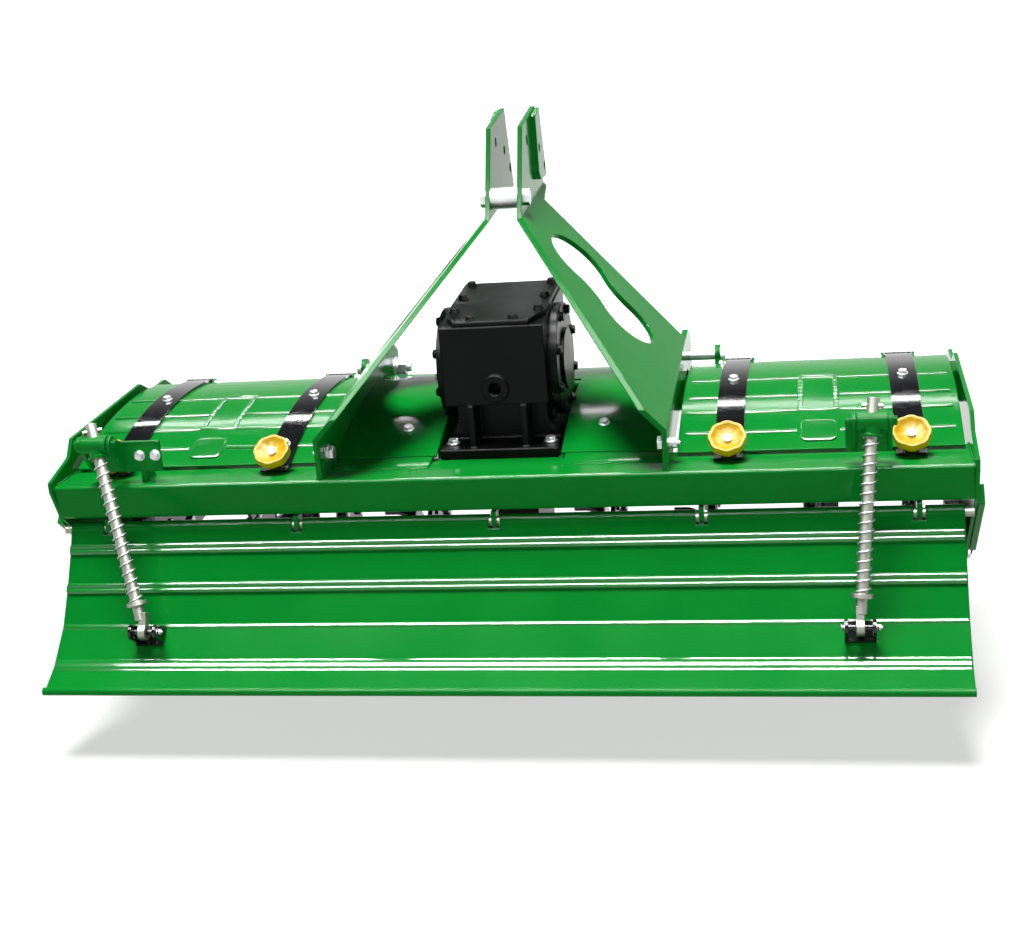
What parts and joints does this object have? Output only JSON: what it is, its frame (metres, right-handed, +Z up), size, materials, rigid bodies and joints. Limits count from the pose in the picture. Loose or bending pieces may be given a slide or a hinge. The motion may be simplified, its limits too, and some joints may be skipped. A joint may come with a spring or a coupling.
{
  "type": "rotary tiller",
  "caption": "Three-point-hitch rotary tiller with centre gearbox, A-frame mast, tined rotor, hinged hood covers and a sprung rear levelling board.",
  "frame": {"origin": "centre of the whole machine's box, on the ground", "axes": "+X right seen from behind, +Y forward to the tractor, +Z up"},
  "size_m": [1.828, 0.868, 1.13],
  "materials": {
    "green_paint": "gloss",
    "black_paint": "gloss",
    "black_casting": "satin paint",
    "zinc_plate": "zinc plated",
    "bare_steel": "satin",
    "yellow_plastic": "moulded"
  },
  "bodies": {
    "frame": {"rear_beam": "green_paint", "front_beam": "green_paint", "bed_plate": "green_paint", "side_plate_left": "green_paint", "side_plate_right": "green_paint", "center_deck": "green_paint", "skid_left": "green_paint", "skid_right": "green_paint", "mast_left": "green_paint", "mast_right": "green_paint", "hitch_plate_left": "green_paint", "hitch_plate_right": "green_paint", "rod_bracket_left": "green_paint", "lid_hinges_left": "green_paint", "lid_hinges_right": "green_paint", "rod_bracket_right": "green_paint", "bearing_left": "black_casting", "bearing_right": "black_casting", "gearbox_housing": "black_casting", "gearbox_top_cover": "black_casting", "gearbox_cover_left": "black_casting", "gearbox_cover_right": "black_casting", "drive_case": "black_casting", "input_cap": "black_casting", "mast_spacer": "zinc_plate", "hitch_pin_left": "zinc_plate", "hitch_pin_right": "zinc_plate", "tail_hinge_rod": "bare_steel"},
    "rotor": {"rotor_left": "black_paint", "rotor_right": "black_paint"},
    "input": {"input_shaft": "bare_steel"},
    "tail": {"tail_board": "green_paint", "tail_clevis_left": "black_paint", "tail_clevis_right": "black_paint"},
    "left_sleeve": {"sleeve_left": "green_paint"},
    "left_rod": {"rod_left": "bare_steel", "spring_left": "zinc_plate"},
    "right_sleeve": {"sleeve_right": "green_paint"},
    "right_rod": {"rod_right": "bare_steel", "spring_right": "zinc_plate"},
    "left_lid": {"cover_left": "green_paint", "straps_left": "black_paint", "knobs_left": "yellow_plastic"},
    "right_lid": {"cover_right": "green_paint", "straps_right": "black_paint", "knobs_right": "yellow_plastic"}
  },
  "joints": [
    {"name": "rotor_spin", "type": "hinge", "parent": "frame", "child": "rotor", "pos_m": [0, 0.116, 0.25], "axis": [-1, 0, 0], "continuous": true},
    {"name": "input_spin", "type": "hinge", "parent": "frame", "child": "input", "pos_m": [0, 0.181, 0.629], "axis": [0, 1, 0], "continuous": true},
    {"name": "tail_lift", "type": "hinge", "parent": "frame", "child": "tail", "pos_m": [0, -0.196, 0.392], "axis": [-1, 0, 0], "range_deg": [0, 25]},
    {"name": "left_sleeve_swing", "type": "hinge", "parent": "frame", "child": "left_sleeve", "pos_m": [-0.779, -0.238, 0.58], "axis": [-1, 0, 0], "range_deg": [0, 15]},
    {"name": "left_rod_slide", "type": "slide", "parent": "left_sleeve", "child": "left_rod", "axis": [-0.2552, 0.3105, 0.9157], "range_m": [0, 0.055], "deforming": ["spring_left"]},
    {"name": "right_sleeve_swing", "type": "hinge", "parent": "frame", "child": "right_sleeve", "pos_m": [0.712, -0.238, 0.58], "axis": [-1, 0, 0], "range_deg": [0, 15]},
    {"name": "right_rod_slide", "type": "slide", "parent": "right_sleeve", "child": "right_rod", "axis": [0.0814, 0.3201, 0.9439], "range_m": [0, 0.055], "deforming": ["spring_right"]},
    {"name": "left_lid_open", "type": "hinge", "parent": "frame", "child": "left_lid", "pos_m": [-0.617, 0.352, 0.556], "axis": [-1, 0, 0], "range_deg": [0, 75]},
    {"name": "right_lid_open", "type": "hinge", "parent": "frame", "child": "right_lid", "pos_m": [0.617, 0.352, 0.556], "axis": [-1, 0, 0], "range_deg": [0, 75]}
  ],
  "couplings": [
    {"joint": "input_spin", "follows": "rotor_spin", "ratio": 2.4},
    {"joint": "left_sleeve_swing", "follows": "tail_lift", "ratio": 0.55855},
    {"joint": "left_rod_slide", "follows": "tail_lift", "m_per_rad": 0.11986},
    {"joint": "right_sleeve_swing", "follows": "tail_lift", "ratio": 0.55855},
    {"joint": "right_rod_slide", "follows": "tail_lift", "m_per_rad": 0.11628}
  ]
}
